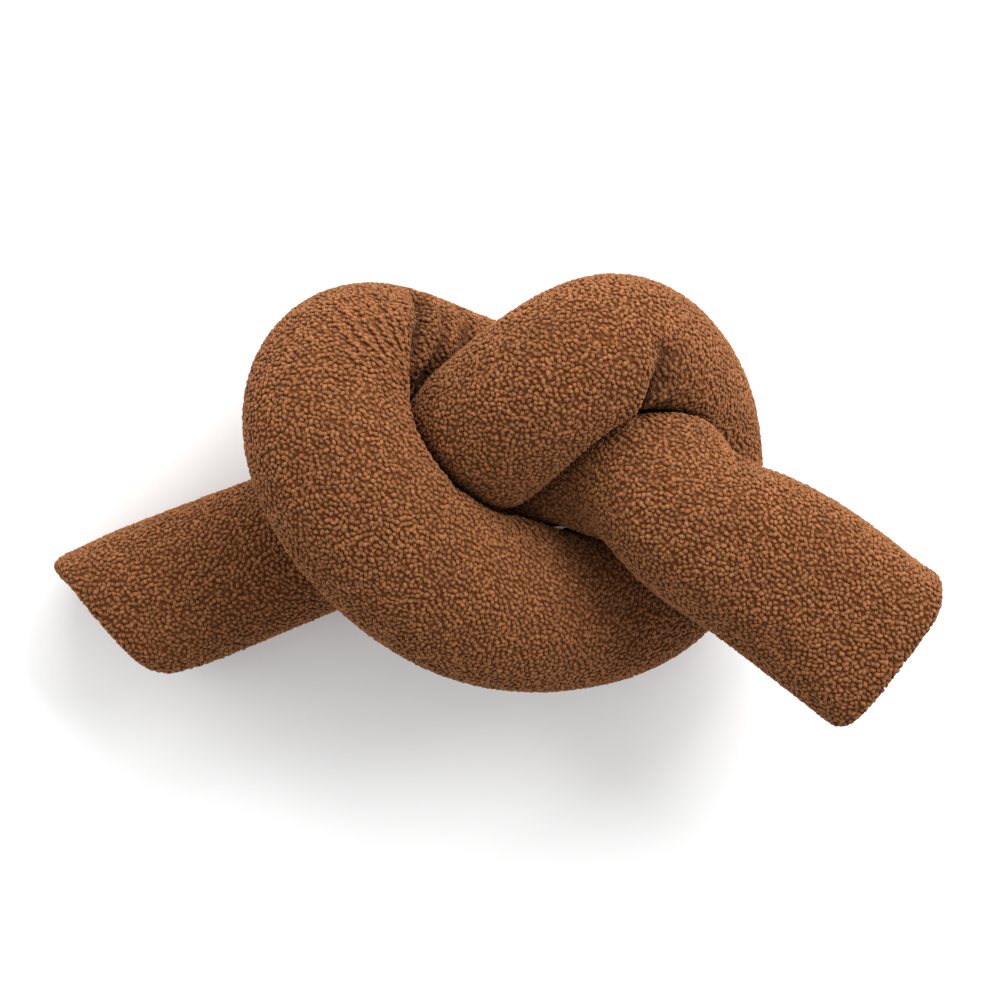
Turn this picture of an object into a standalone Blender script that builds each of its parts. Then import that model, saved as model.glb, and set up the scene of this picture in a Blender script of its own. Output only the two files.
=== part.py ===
"""Knot cushion: one stuffed fleece tube tied in an overhand knot, its two ends left as tails.

Metres, +Z up. The cushion lies on its back: X runs along its length, Y across the face and Z out
of the face. The body is one closed skin lofted along the centreline of the tube. Where two strands
of the knot press on each other, or one rests on the ground, their sections are flattened.
"""
import bpy
import numpy as np

NAME = "knot_cushion"
RINGS = 112            # sections along the tube
SEGMENTS = 44          # points round a section
SAMPLES = 500          # points of the centreline that a strand is kept apart from
SEAM_GAP = 0.0012      # hairline left between strands that press on each other
OWN_REACH = 0.036      # length of the tube either side of a section that counts as the same strand
PRESS_BLEND = 0.012    # rounding of the edge of a pressed face
GROUND_BLEND = 0.004   # rounding of the edge of a resting face
SPINE_TOP = np.array([0.0, 0.0, 1.0])

# The tube from the end of the left tail to the end of the right tail, in millimetres. width is
# across the face, height is out of it, square is the power of the section's outline (2 is an
# ellipse), slant is how far the section leans along the tube, as a share of its width, and push is
# how much harder than usual a strand presses into the strands that it touches.
LINE_COLUMNS = ("x", "y", "z", "width", "height", "square", "slant", "push")
LINE = (
    ("left_end",     -270,    -86,    49,   114,   106,   3.0,  -0.36,    0),
    ("left_tail",    -237,    -74,    49,   118,   108,   2.5,  -0.16,    0),
    ("left_neck",    -184,    -53,    49,   117,   110,   2.2,   0.00,    0),
    ("under_1",      -131,    -30,    51,   116,   108,   2.0,   0.00,    0),
    ("centre_in",     -75,      6,    72,   114,   110,   2.0,   0.00,   -4),
    ("centre_mid",    -29,     38,   120,   114,   110,   2.0,   0.00,   -4),
    ("over_2",          9,     73,   158,   114,   108,   2.1,   0.00,    0),
    ("centre_out",     44,    100,   168,   114,   110,   2.0,   0.00,   -4),
    ("right_top",      81,    112,   152,   115,   114,   2.0,   0.00,   -8),
    ("right_turn",    116,     89,   106,   113,   114,   2.0,   0.00,    0),
    ("right_down",    135,     47,    60,   115,   112,   2.0,   0.00,    0),
    ("under_3a",      139,      0,    49,   116,   110,   2.0,   0.00,    0),
    ("under_3",       132,    -42,    49,   116,   108,   2.0,   0.00,    0),
    ("bottom_in",     101,    -73,    63,   117,   112,   2.0,   0.00,    0),
    ("bottom_mid",     44,    -80,    99,   124,   114,   2.0,   0.00,    7),
    ("bottom_out",    -14,    -66,   133,   128,   112,   2.0,   0.00,    6),
    ("over_1a",       -65,    -29,   161,   130,   108,   2.0,   0.00,   12),
    ("over_1",       -102,     17,   172,   130,   108,   2.0,   0.00,    4),
    ("left_up",      -120,     60,   164,   125,   112,   2.0,   0.00,    0),
    ("left_top",     -116,     92,   138,   119,   114,   2.0,   0.00,   -4),
    ("left_turn",     -91,    102,    98,   115,   114,   2.0,   0.00,  -14),
    ("left_down",     -52,     86,    60,   116,   112,   2.0,   0.00,  -12),
    ("under_2",         4,     61,    48,   114,   108,   2.0,   0.00,    0),
    ("right_in",       44,     30,    74,   130,   112,   2.0,   0.00,    0),
    ("right_rise",     97,     31,   131,   119,   112,   2.0,   0.00,    0),
    ("over_3",        134,     -3,   170,   113,   108,   2.2,   0.00,    0),
    ("right_tail",    184,    -31,   172,   123,   106,   2.6,   0.00,    0),
    ("right_far",     232,    -64,   166,   128,   104,   3.0,   0.00,    0),
    ("right_end",     257,    -85,   162,   128,   102,   3.6,  -0.08,    0),
)

# Creases of the fleece, each a straight mark on the skin from one spot to another. along is the
# distance down the tube in millimetres, round the angle about it in degrees (0 is level, to the
# left of the tube's run, and 90 is up), deep how far it goes in and wide its half width.
FOLD_COLUMNS = ("along_a", "round_a", "along_b", "round_b", "deep", "wide")
FOLDS = (
    ("left_bend",   1133,  12, 1078, 150, 9.0, 8.0),
    ("right_bend",   438, 140,  447,  76, 7.0, 8.0),
)

# The two closed ends. cap is the length of the closing part, edge the radius of its rim, corner
# what the lower corner adds to that radius, dome the crown of the end panel, all in millimetres.
END_COLUMNS = ("cap", "edge", "corner", "dome")
LEFT_END = (23.0, 7.0, 13.0, 3.0)
RIGHT_END = (25.0, 9.0, 0.0, 3.0)
CAP_STEPS = (0.0, 0.34, 0.66, 0.82, 0.93, 1.0)   # shares of the cap length that hold a section
PANEL_STEPS = (0.62, 0.28)                       # shares of the rim that hold the panel's rings

# Corners of the end seams that stand out: the end (0 is the left one), the angle round it, how far
# the corner is drawn out of the end and how far to the left of the tube's run, and the reach of
# the pull, in millimetres.
CORNER_COLUMNS = ("end", "round", "out", "level", "reach")
CORNERS = (
    ("left_tip",  0,   0, 8.0, -5.0, 24.0),
    ("right_tip", 1,   0, 1.5,  4.5, 16.0),
    ("right_low", 1, 180, 6.0,  2.5, 18.0),
)


def natural_spline(knots, values, at):
    """Natural cubic curve through the rows of values at knots: each span is a cubic whose second
    derivative runs straight from one knot to the next and is zero at both ends of the table."""
    count = len(knots)
    span = np.diff(knots)
    system = np.zeros((count, count))
    right = np.zeros((count, values.shape[1]))
    inner = np.arange(1, count - 1)
    system[0, 0] = 1.0
    system[-1, -1] = 1.0
    system[inner, inner - 1] = span[:-1]
    system[inner, inner] = 2.0 * (span[:-1] + span[1:])
    system[inner, inner + 1] = span[1:]
    slope = np.diff(values, axis=0) / span[:, None]
    right[1:-1] = 6.0 * np.diff(slope, axis=0)
    bend = np.linalg.solve(system, right)
    k = np.clip(np.searchsorted(knots, at, side="right") - 1, 0, count - 2)
    left = (knots[k + 1] - at)[:, None]
    past = (at - knots[k])[:, None]
    h = span[k][:, None]
    cubic = (bend[k] * left**3 + bend[k + 1] * past**3) / (6.0 * h)
    line = (values[k] / h - bend[k] * h / 6.0) * left
    return cubic + line + (values[k + 1] / h - bend[k + 1] * h / 6.0) * past


def tube_line():
    """The table as a fine curve: distance along it and its columns, in metres."""
    table = np.array([row[1:] for row in LINE], dtype=float)
    table[:, [0, 1, 2, 3, 4, 7]] *= 0.001
    steps = np.linalg.norm(np.diff(table[:, :3], axis=0), axis=1)
    knots = np.concatenate([[0.0], np.cumsum(np.sqrt(steps))])
    fine = natural_spline(knots, table, np.linspace(0.0, knots[-1], 3000))
    steps = np.linalg.norm(np.diff(fine[:, :3], axis=0), axis=1)
    return np.concatenate([[0.0], np.cumsum(steps)]), fine


def read_line(along, fine, at):
    """The columns of the curve at the distances asked for."""
    return np.stack([np.interp(at, along, column) for column in fine.T], axis=1)


def fold_marks():
    """The creases as an array of rows in metres and radians."""
    marks = np.array([row[1:] for row in FOLDS], dtype=float).reshape(-1, len(FOLD_COLUMNS))
    marks[:, [0, 2, 4, 5]] *= 0.001
    marks[:, [1, 3]] = np.radians(marks[:, [1, 3]])
    return marks


def ring_places(length):
    """Distances of the sections: closer together near the creases, further apart in the tails."""
    fine = np.linspace(0.0, length, 4000)
    density = np.full(len(fine), 1.0)
    for mark in fold_marks():
        middle = (mark[0] + mark[2]) / 2.0
        density += 0.45 * np.exp(-((fine - middle) / 0.045) ** 2)
    tails = np.minimum(fine, length - fine)
    density *= np.where(tails < 0.15, 0.75, 1.0)
    total = np.concatenate([[0.0], np.cumsum((density[1:] + density[:-1]) / 2.0)])
    return np.interp(np.linspace(0.0, total[-1], RINGS), total, fine)


def section_axes(centres):
    """Three directions at each section: along the tube, level across it, and up out of it."""
    ahead = np.gradient(centres, axis=0)
    ahead /= np.linalg.norm(ahead, axis=1)[:, None]
    up = SPINE_TOP - ahead * (ahead @ SPINE_TOP)[:, None]
    up /= np.linalg.norm(up, axis=1)[:, None]
    return ahead, np.cross(up, ahead), up


def free_radius(angle, rows):
    """Distance from the centre to a superellipse: (|cos|/half width)^p + (|sin|/half height)^p,
    all to the power -1/p."""
    power = rows[:, 5:6]
    across = np.abs(np.cos(angle) / (rows[:, 3:4] / 2.0)) ** power
    upward = np.abs(np.sin(angle) / (rows[:, 4:5] / 2.0)) ** power
    return (across + upward) ** (-1.0 / power)


def pressed_radius(places, rows, rays, limit, along, fine):
    """Furthest a ray may go and still be nearer its own centre than any other strand of the tube,
    found by halving. Distances are taken less each strand's push, and the hairline between strands
    is kept on top of that."""
    others_at = np.linspace(0.0, along[-1], SAMPLES)
    others, others_push = np.split(read_line(along, fine, others_at)[:, [0, 1, 2, 7]], [3], axis=1)
    centres, push = rows[:, :3], rows[:, 7]
    harder = others_push[:, 0] - push[:, None, None]
    apart = np.abs(others_at[None, :] - places[:, None]) > OWN_REACH
    low = np.zeros_like(limit)
    high = limit * 1.15
    for _ in range(16):
        middle = (low + high) / 2.0
        spots = centres[:, None] + middle[..., None] * rays
        square = (spots**2).sum(-1)[..., None] - 2.0 * spots @ others.T + (others**2).sum(-1)
        square = np.where(apart[:, None], square, 1.0)
        clear = (np.sqrt(np.maximum(square, 0.0)) - harder).min(-1) >= middle + SEAM_GAP
        low = np.where(clear, middle, low)
        high = np.where(clear, high, middle)
    return low


def soft_least(a, b, blend):
    """The lesser of two lengths, with the change from one to the other rounded over blend."""
    share = np.clip(blend - np.abs(a - b), 0.0, None) / blend
    return np.minimum(a, b) - share**2 * blend / 4.0


def fold_depth(places, angle, radius):
    """How far the creases go in: a bell across each mark, from the distance to its nearest point
    on the skin laid flat."""
    total = np.zeros_like(radius)
    for along_a, round_a, along_b, round_b, deep, wide in fold_marks():
        turn = (angle - round_a + np.pi) % (2.0 * np.pi) - np.pi
        x = (places[:, None] - along_a) + 0.0 * turn
        y = turn * 0.055
        run = np.array([along_b - along_a, (round_b - round_a) * 0.055])
        share = np.clip((x * run[0] + y * run[1]) / (run @ run), 0.0, 1.0)
        gone = (x - share * run[0]) ** 2 + (y - share * run[1]) ** 2
        total += deep * np.exp(-gone / wide**2)
    return total


def tube_rings():
    """The sections of the tube as an array of rings by points by xyz, with the end sections'
    centres and directions."""
    along, fine = tube_line()
    places = ring_places(along[-1])
    rows = read_line(along, fine, places)
    centres = rows[:, :3]
    ahead, level, up = section_axes(centres)
    angle = np.linspace(0.0, 2.0 * np.pi, SEGMENTS, endpoint=False)[None, :]
    lean = level + ahead * rows[:, 6:7]
    rays = lean[:, None] * np.cos(angle)[..., None] + up[:, None] * np.sin(angle)[..., None]
    free = free_radius(angle, rows)
    radius = soft_least(free, pressed_radius(places, rows, rays, free, along, fine), PRESS_BLEND)
    radius = radius - fold_depth(places, angle, radius)
    drop = np.maximum(-rays[..., 2], 1e-6)
    ground = np.where(rays[..., 2] < -1e-6, centres[:, None, 2] / drop, 1.0)
    radius = soft_least(radius, ground, GROUND_BLEND)
    return centres[:, None] + radius[..., None] * rays, centres, ahead


def closing_rings(ring, centre, outward, end):
    """Rings that close an end: straight on, then a quarter circle of the rim's radius in towards
    the middle, then a low dome. The lower corner has the larger radius."""
    cap, edge, corner, dome = np.array(end) * 0.001
    angle = np.linspace(0.0, 2.0 * np.pi, len(ring), endpoint=False)
    rim = edge + corner * np.clip(-np.cos(angle), 0.0, None) ** 2
    spoke = ring - centre
    reach = np.linalg.norm(spoke, axis=1)
    rings = []
    for share in CAP_STEPS[1:]:
        past = np.clip(share * cap - (cap - rim), 0.0, None)
        inset = rim - np.sqrt(np.maximum(rim**2 - past**2, 0.0))
        scale = (reach - inset) / reach
        rings.append(centre + spoke * scale[:, None] + outward * share * cap)
    last = rings[-1] - centre - outward * cap
    for share in PANEL_STEPS:
        rise = cap + dome * (1.0 - share**2)
        rings.append(centre + last * share + outward * rise)
    return rings, centre + outward * (cap + dome)


def draw_corners(grid, ahead):
    """Draws the corners of the end seams out: each point moves by the pull times e to the power
    -(distance to the corner / reach)^2."""
    for end, turn, out, level, reach in (row[1:] for row in CORNERS):
        outward = (-ahead[0], ahead[-1])[end]
        left = np.cross(SPINE_TOP, ahead[-end])
        rim = len(PANEL_STEPS)
        ring = grid[(rim, -1 - rim)[end]]
        corner = ring[round(turn / 360.0 * SEGMENTS)]
        near = np.exp(-(((grid - corner) / (reach * 0.001)) ** 2).sum(-1))
        grid = grid + near[..., None] * (outward * out + left * level) * 0.001
    return grid


def body_skin():
    """Points and faces of the closed skin: rings joined by four-sided faces, fans at the ends."""
    tube, centres, ahead = tube_rings()
    first, first_tip = closing_rings(tube[0], centres[0], -ahead[0], LEFT_END)
    last, last_tip = closing_rings(tube[-1], centres[-1], ahead[-1], RIGHT_END)
    rings = np.concatenate([np.array(first[::-1]), tube, np.array(last)])
    rings = draw_corners(rings, ahead)
    points = np.concatenate([rings.reshape(-1, 3), [first_tip, last_tip]])
    points[:, 2] = np.maximum(points[:, 2], 0.0)
    box = (points.min(axis=0) + points.max(axis=0)) / 2.0
    points[:, :2] -= box[:2]
    count = len(rings)
    here = np.arange(SEGMENTS)
    beside = (here + 1) % SEGMENTS
    start = (np.arange(count - 1) * SEGMENTS)[:, None]
    quads = np.stack([start + here, start + beside, start + SEGMENTS + beside, start + SEGMENTS + here], axis=-1)
    faces = [tuple(face) for face in quads.reshape(-1, 4).tolist()]
    tip = count * SEGMENTS
    far = (count - 1) * SEGMENTS
    faces += [(tip, int(b), int(a)) for a, b in zip(here, beside)]
    faces += [(tip + 1, far + int(a), far + int(b)) for a, b in zip(here, beside)]
    return points, faces


def plain_material(name, colour, roughness):
    """One flat colour for the solid."""
    material = bpy.data.materials.new(name)
    material.use_nodes = True
    shader = material.node_tree.nodes["Principled BSDF"]
    shader.inputs["Base Color"].default_value = (*colour, 1.0)
    shader.inputs["Roughness"].default_value = roughness
    return material


def add_body(collection):
    """The stuffed tube as one closed solid."""
    points, faces = body_skin()
    mesh = bpy.data.meshes.new(NAME)
    mesh.from_pydata(points.tolist(), [], faces)
    mesh.update()
    mesh.shade_smooth()
    body = bpy.data.objects.new(NAME, mesh)
    mesh.materials.append(plain_material("brown_fleece", (0.211, 0.087, 0.041), 0.9))
    collection.objects.link(body)
    return body


def main():
    for old in list(bpy.data.objects):
        bpy.data.objects.remove(old, do_unlink=True)
    collection = bpy.data.collections.new(NAME)
    bpy.context.scene.collection.children.link(collection)
    add_body(collection)


main()
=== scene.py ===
"""Looks of the knot cushion: the stuffed tube as soft cloth, its curly fleece pile, and a pale
studio.

Metres, +Z up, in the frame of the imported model. The skin is worked out again here from the same
table as the solid, finer and a little inside it, so that the tips of the pile reach the solid's
outline. The curls of the pile are small bent beads spread evenly over the skin.
"""
import functools
import math

import bpy
import numpy as np
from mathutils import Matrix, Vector


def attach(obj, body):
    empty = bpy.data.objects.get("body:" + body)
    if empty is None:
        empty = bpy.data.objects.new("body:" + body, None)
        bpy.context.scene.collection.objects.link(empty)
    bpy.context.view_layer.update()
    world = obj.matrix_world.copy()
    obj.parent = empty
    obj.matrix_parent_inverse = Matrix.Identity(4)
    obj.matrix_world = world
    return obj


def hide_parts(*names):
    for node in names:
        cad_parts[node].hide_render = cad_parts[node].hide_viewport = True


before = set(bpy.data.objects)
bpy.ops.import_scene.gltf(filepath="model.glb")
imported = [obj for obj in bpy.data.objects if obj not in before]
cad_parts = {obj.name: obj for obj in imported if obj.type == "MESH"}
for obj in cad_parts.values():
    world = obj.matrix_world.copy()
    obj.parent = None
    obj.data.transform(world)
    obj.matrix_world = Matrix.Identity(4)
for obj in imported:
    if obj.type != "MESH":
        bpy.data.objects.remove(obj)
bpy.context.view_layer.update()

bl_info = {
    "name": "Knot Cushion",
    "version": (1, 0, 0),
    "blender": (4, 5, 0),
    "location": "View3D > Sidebar > Knot Cushion",
    "description": "Builds the cloth, pile and studio of a knotted tube cushion",
    "category": "Add Mesh",
}

MM = 0.001

# The tube from the end of the left tail to the end of the right tail, in millimetres. width is
# across the face, height is out of it, square is the power of the section's outline (2 is an
# ellipse), slant is how far the section leans along the tube, as a share of its width, and push is
# how much harder than usual a strand presses into the strands that it touches.
LINE_COLUMNS = ("x", "y", "z", "width", "height", "square", "slant", "push")
LINE = (
    ("left_end",   -270,  -86,  49, 114, 106, 3.0, -0.36,   0),
    ("left_tail",  -237,  -74,  49, 118, 108, 2.5, -0.16,   0),
    ("left_neck",  -184,  -53,  49, 117, 110, 2.2,  0.00,   0),
    ("under_1",    -131,  -30,  51, 116, 108, 2.0,  0.00,   0),
    ("centre_in",   -75,    6,  72, 114, 110, 2.0,  0.00,  -4),
    ("centre_mid",  -29,   38, 120, 114, 110, 2.0,  0.00,  -4),
    ("over_2",        9,   73, 158, 114, 108, 2.1,  0.00,   0),
    ("centre_out",   44,  100, 168, 114, 110, 2.0,  0.00,  -4),
    ("right_top",    81,  112, 152, 115, 114, 2.0,  0.00,  -8),
    ("right_turn",  116,   89, 106, 113, 114, 2.0,  0.00,   0),
    ("right_down",  135,   47,  60, 115, 112, 2.0,  0.00,   0),
    ("under_3a",    139,    0,  49, 116, 110, 2.0,  0.00,   0),
    ("under_3",     132,  -42,  49, 116, 108, 2.0,  0.00,   0),
    ("bottom_in",   101,  -73,  63, 117, 112, 2.0,  0.00,   0),
    ("bottom_mid",   44,  -80,  99, 124, 114, 2.0,  0.00,   7),
    ("bottom_out",  -14,  -66, 133, 128, 112, 2.0,  0.00,   6),
    ("over_1a",     -65,  -29, 161, 130, 108, 2.0,  0.00,  12),
    ("over_1",     -102,   17, 172, 130, 108, 2.0,  0.00,   4),
    ("left_up",    -120,   60, 164, 125, 112, 2.0,  0.00,   0),
    ("left_top",   -116,   92, 138, 119, 114, 2.0,  0.00,  -4),
    ("left_turn",   -91,  102,  98, 115, 114, 2.0,  0.00, -14),
    ("left_down",   -52,   86,  60, 116, 112, 2.0,  0.00, -12),
    ("under_2",       4,   61,  48, 114, 108, 2.0,  0.00,   0),
    ("right_in",     44,   30,  74, 130, 112, 2.0,  0.00,   0),
    ("right_rise",   97,   31, 131, 119, 112, 2.0,  0.00,   0),
    ("over_3",      134,   -3, 170, 113, 108, 2.2,  0.00,   0),
    ("right_tail",  184,  -31, 172, 123, 106, 2.6,  0.00,   0),
    ("right_far",   232,  -64, 166, 128, 104, 3.0,  0.00,   0),
    ("right_end",   257,  -85, 162, 128, 102, 3.6, -0.08,   0),
)

# Creases and soft swells of the fleece, each a straight mark on the skin from one spot to another.
# along is the distance down the tube in millimetres, round the angle about it in degrees (0 is
# level, to the left of the tube's run, and 90 is up), deep how far it goes in at that end (out
# where it is below zero) and wide its half width.
FOLD_COLUMNS = ("along_a", "round_a", "deep_a", "along_b", "round_b", "deep_b", "wide")
FOLDS = (
    ("left_bend",       1137,  10,  17.0, 1080, 148,  22.0,  3.8),
    ("left_second",     1147,  28,   9.0, 1124, 100,  13.0,  3.0),
    ("left_lip",        1114,  40,  -3.0, 1062, 138,  -5.5,  9.0),
    ("right_bend",       443, 134,  18.0,  448,  82,   9.0,  4.5),
    ("right_lip",        430, 132,  -4.5,  434,  88,  -3.0,  8.0),
    ("right_ray_low",    460, 118,   6.0,  478,  80,   2.0,  4.0),
    ("right_ray_high",   455, 104,   4.0,  470,  70,   1.5,  3.5),
    ("rim_dip",          942, 164,   2.5,  938, 174,   2.5,  5.0),
    ("centre_filler",   1296, 212, -15.0, 1335, 165, -14.0, 14.0),
    ("centre_floor",     745, 218, -15.0,  812, 192, -14.0, 14.0),
    ("rim_over_hole",   1318, 158,  -3.0, 1336, 143,  -3.0,  9.0),
    ("rim_under_hole",   792, 184,  -3.0,  808, 166,  -3.0,  9.0),
)

# Where the cloth is bunched into pleats beside a bend, as along, round, reach, turn, lean, share:
# the middle of the place, how far it reaches along the tube and round it, how far a pleat leans
# along the tube for each degree round it, and how strong the pleats are.
BUNCHES = (
    ("left_loop",  1078,  95, 26, 50, -0.25, 1.0),
    ("right_loop",  458, 105, 16, 36, -0.42, 0.8),
)

# The closed ends: closing length, rim radius, the lower corner's extra radius and the crown.
LEFT_END = (23.0, 7.0, 13.0, 3.0)
RIGHT_END = (25.0, 9.0, 0.0, 3.0)

# Corners of the end seams that stand out, as end, round, out, level, reach: the end (0 is the left
# one), the angle round it, how far the corner is drawn out of the end and how far to the left of
# the tube's run, and the reach of the pull, in millimetres.
CORNERS = (
    ("left_tip",  0,   0, 8.0, -5.0, 24.0),
    ("right_tip", 1,   0, 1.5,  4.5, 16.0),
    ("right_low", 1, 180, 6.0,  2.5, 18.0),
)

# Where the rings of a closed end stand: along its closing length, then in from its rim, for the
# fine skin, for the cloth that is left to settle and for the solid.
RIM_STEPS = np.array([0.0, 0.2, 0.36, 0.5, 0.6, 0.68, 0.75, 0.82, 0.88, 0.93, 0.97, 1.0])
PANEL_STEPS = np.linspace(1.0, 0.0, 16)[1:-1]
SETTLE_PANEL_STEPS = np.linspace(1.0, 0.0, 6)[1:-1]
SOLID_PANEL_STEPS = np.array([0.62, 0.28])

# The skin. Lengths are in metres, and a grid is its sections and the points round them.
SOLID_GRID = (112, 44)
LINE_POINTS = 3000          # points of the fine curve through the table
SAMPLES = 500               # points of it that a strand is kept apart from
HALVINGS = 14               # steps in the search for where two strands meet
PRESS_LIMIT = 1.15          # how far that search goes, as a share of the free radius
SEAM_GAP = 0.0012           # hairline left between strands that press on each other
OWN_REACH = 0.036           # length of tube on either side that counts as the same strand
PRESS_BLEND = 0.008         # rounding of the edge of a pressed face
GROUND_BLEND = 0.004        # rounding of the edge of a resting face
SKIN_RADIUS = 0.055         # radius at which angles about the tube become lengths of skin
PLEAT_HEIGHT = 0.0019       # rise and fall of the pleats on the inside of a bend
PLEAT_LENGTH = 0.0056       # distance between them along the tube's middle line
PLEAT_DRIFT = (0.031, 0.047)            # lengths along it of the slow sines that bend them
SQUEEZE_GAIN, SQUEEZE_START = 2.2, 0.3  # how squeezed skin turns into strength of the pleats

# The settling of the cloth.
SETTLE_GRID = (260, 76)
SETTLE_FRAMES = 20
SETTLE_SLACK = 1.03         # the cut cloth's size beside the stuffed one
SETTLE_CAP = 0.005          # furthest that the cloth may move out or in
HOLD_PRESSED = (0.001, 0.003)   # pressed in this far it begins to be held, fully so this much on
HOLD_HEIGHT = (0.006, 0.003)    # the same for its height, downwards
CLOTH = {"quality": 6, "mass": 0.3, "tension_stiffness": 20.0, "compression_stiffness": 20.0,
         "shear_stiffness": 8.0, "bending_stiffness": 0.15, "use_pressure": True,
         "uniform_pressure_force": 4.0, "pin_stiffness": 5.0}

# The pile. Pairs are the least and the most, as shares of the usual size unless said otherwise.
CANDIDATES = 620000         # spots that the curls are chosen from
CURL_RINGS = np.array([0.14, 0.5, 0.86])                # where along a curl its rings stand
CURL_SIDES = np.radians([-22.0, 52.0, 128.0, 202.0])    # angles of the points of each ring
CURL_LENGTHS = (0.70, 1.30)
CURL_WIDTHS = (0.85, 1.15)
CURL_HEIGHTS = (0.6, 1.3)
CURL_UNEVEN = (0.84, 1.16)
CURL_BENDS = (0.3, 2.6)     # turn from end to end, in radians
CURL_TIGHTEST = 0.72        # the most turn, as a share of the length over the half width
CURL_TAPER = (-0.28, 0.28)  # how much wider one end is
CURL_TILT = 0.0005          # the most that one end stands over the spine's middle, in metres
CURL_FLATNESS = 0.88        # thickness out of the skin beside the width in it
ALIGNED_BEND = 0.6          # share of its turn that a curl loses where it is aligned
ALIGNED_HEADING = 0.85      # and share of its freedom to head another way
TIP_MOST = 1.3              # the highest that a point counts on the way from root to tip
BARE_DEPTH = 0.011          # a face or crease pressed in deeper than this has no curls, in metres
CREASE_SHADE = 0.6          # painted shade: how much darker the pile gets down to that depth
BACKING_STEPS = (3, 2)      # rings and points of the fine skin to one of the backing's
FLOOR_CLEARANCE = 0.0002    # height of the lowest points of the pile, in metres

# The studio: places and sizes in metres.
FLOOR_HALF = 6.0
AIM = (0.00953, -0.00901, 0.100)    # what the camera looks at
LIT = (0.0, 0.0, 0.1)               # what the lights face
LIGHTS = {
    "key": ((1.41, 1.41, 1.67), (1.6, 1.2)),
    "top": ((0.20, 2.24, 1.30), (1.6, 1.2)),
    "side": ((-1.9, 0.9, 0.75), (1.6, 1.0)),
}

BODY = "root"
NODE = "knot_cushion"
PILE_PIECES = ("lower_tail_pile", "right_loop_pile", "lower_bend_pile", "left_loop_pile",
               "upper_tail_pile")


# ---------------------------------------------------------------- the tube

def natural_spline(knots, values, at):
    """Natural cubic curve through the rows of values at knots: each span is a cubic whose second
    derivative runs straight from one knot to the next and is zero at both ends of the table."""
    count = len(knots)
    span = np.diff(knots)
    system = np.zeros((count, count))
    right = np.zeros((count, values.shape[1]))
    inner = np.arange(1, count - 1)
    system[0, 0] = 1.0
    system[-1, -1] = 1.0
    system[inner, inner - 1] = span[:-1]
    system[inner, inner] = 2.0 * (span[:-1] + span[1:])
    system[inner, inner + 1] = span[1:]
    slope = np.diff(values, axis=0) / span[:, None]
    right[1:-1] = 6.0 * np.diff(slope, axis=0)
    bend = np.linalg.solve(system, right)
    k = np.clip(np.searchsorted(knots, at, side="right") - 1, 0, count - 2)
    left = (knots[k + 1] - at)[:, None]
    past = (at - knots[k])[:, None]
    h = span[k][:, None]
    cubic = (bend[k] * left**3 + bend[k + 1] * past**3) / (6.0 * h)
    line = (values[k] / h - bend[k] * h / 6.0) * left
    return cubic + line + (values[k + 1] / h - bend[k + 1] * h / 6.0) * past


def tube_line():
    """The table as a fine curve: distance along it and its columns, in metres."""
    table = np.array([row[1:] for row in LINE], dtype=float)
    table[:, [name not in ("square", "slant") for name in LINE_COLUMNS]] *= MM
    steps = np.linalg.norm(np.diff(table[:, :3], axis=0), axis=1)
    knots = np.concatenate([[0.0], np.cumsum(np.sqrt(steps))])
    fine = natural_spline(knots, table, np.linspace(0.0, knots[-1], LINE_POINTS))
    steps = np.linalg.norm(np.diff(fine[:, :3], axis=0), axis=1)
    return np.concatenate([[0.0], np.cumsum(steps)]), fine


def read_line(along, fine, at):
    """The columns of the curve at the distances asked for."""
    return np.stack([np.interp(at, along, values) for values in fine.T], axis=1)


def column(rows, name):
    """A named column of the table, kept upright."""
    number = LINE_COLUMNS.index(name)
    return rows[:, number:number + 1]


def section_axes(centres):
    """Three directions at each section: along the tube, level across it, and up out of it."""
    ahead = np.gradient(centres, axis=0)
    ahead /= np.linalg.norm(ahead, axis=1)[:, None]
    top = np.array([0.0, 0.0, 1.0])
    up = top - ahead * (ahead @ top)[:, None]
    up /= np.linalg.norm(up, axis=1)[:, None]
    return ahead, np.cross(up, ahead), up


def free_radius(angle, rows):
    """Distance from the centre to a superellipse: (|cos| / half width)^p + (|sin| / half
    height)^p, all to the power -1 / p."""
    power = column(rows, "square")
    across = np.abs(np.cos(angle) / (column(rows, "width") / 2.0)) ** power
    upward = np.abs(np.sin(angle) / (column(rows, "height") / 2.0)) ** power
    return (across + upward) ** (-1.0 / power)


def pressed_radius(places, rows, rays, limit, along, fine):
    """Furthest a ray may go and still be nearer its own centre than any other strand of the tube,
    found by halving. Distances are taken less each strand's push, and the hairline between strands
    is kept on top of that."""
    others_at = np.linspace(0.0, along[-1], SAMPLES)
    others = read_line(along, fine, others_at)
    push, own = column(others, "push")[:, 0], column(rows, "push")[:, 0]
    centres = rows[:, :3]
    low = np.zeros_like(limit)
    for ring in range(len(places)):
        away = np.abs(others_at - places[ring]) > OWN_REACH
        apart = others[away, :3]
        harder = push[away] - own[ring] + SEAM_GAP
        step = limit[ring] * PRESS_LIMIT
        reach = np.zeros_like(step)
        for _ in range(HALVINGS):
            step = step / 2.0
            spots = centres[ring] + (reach + step)[:, None] * rays[ring]
            square = (spots**2).sum(-1)[:, None] - 2.0 * spots @ apart.T + (apart**2).sum(-1)
            left = np.sqrt(np.maximum(square, 0.0)) - harder
            clear = left.min(-1) >= reach + step
            reach = np.where(clear, reach + step, reach)
        low[ring] = reach
    return low


def soft_least(a, b, blend):
    """The lesser of two lengths, with the change from one to the other rounded over blend."""
    share = np.clip(blend - np.abs(a - b), 0.0, None) / blend
    return np.minimum(a, b) - share**2 * blend / 4.0


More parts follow.
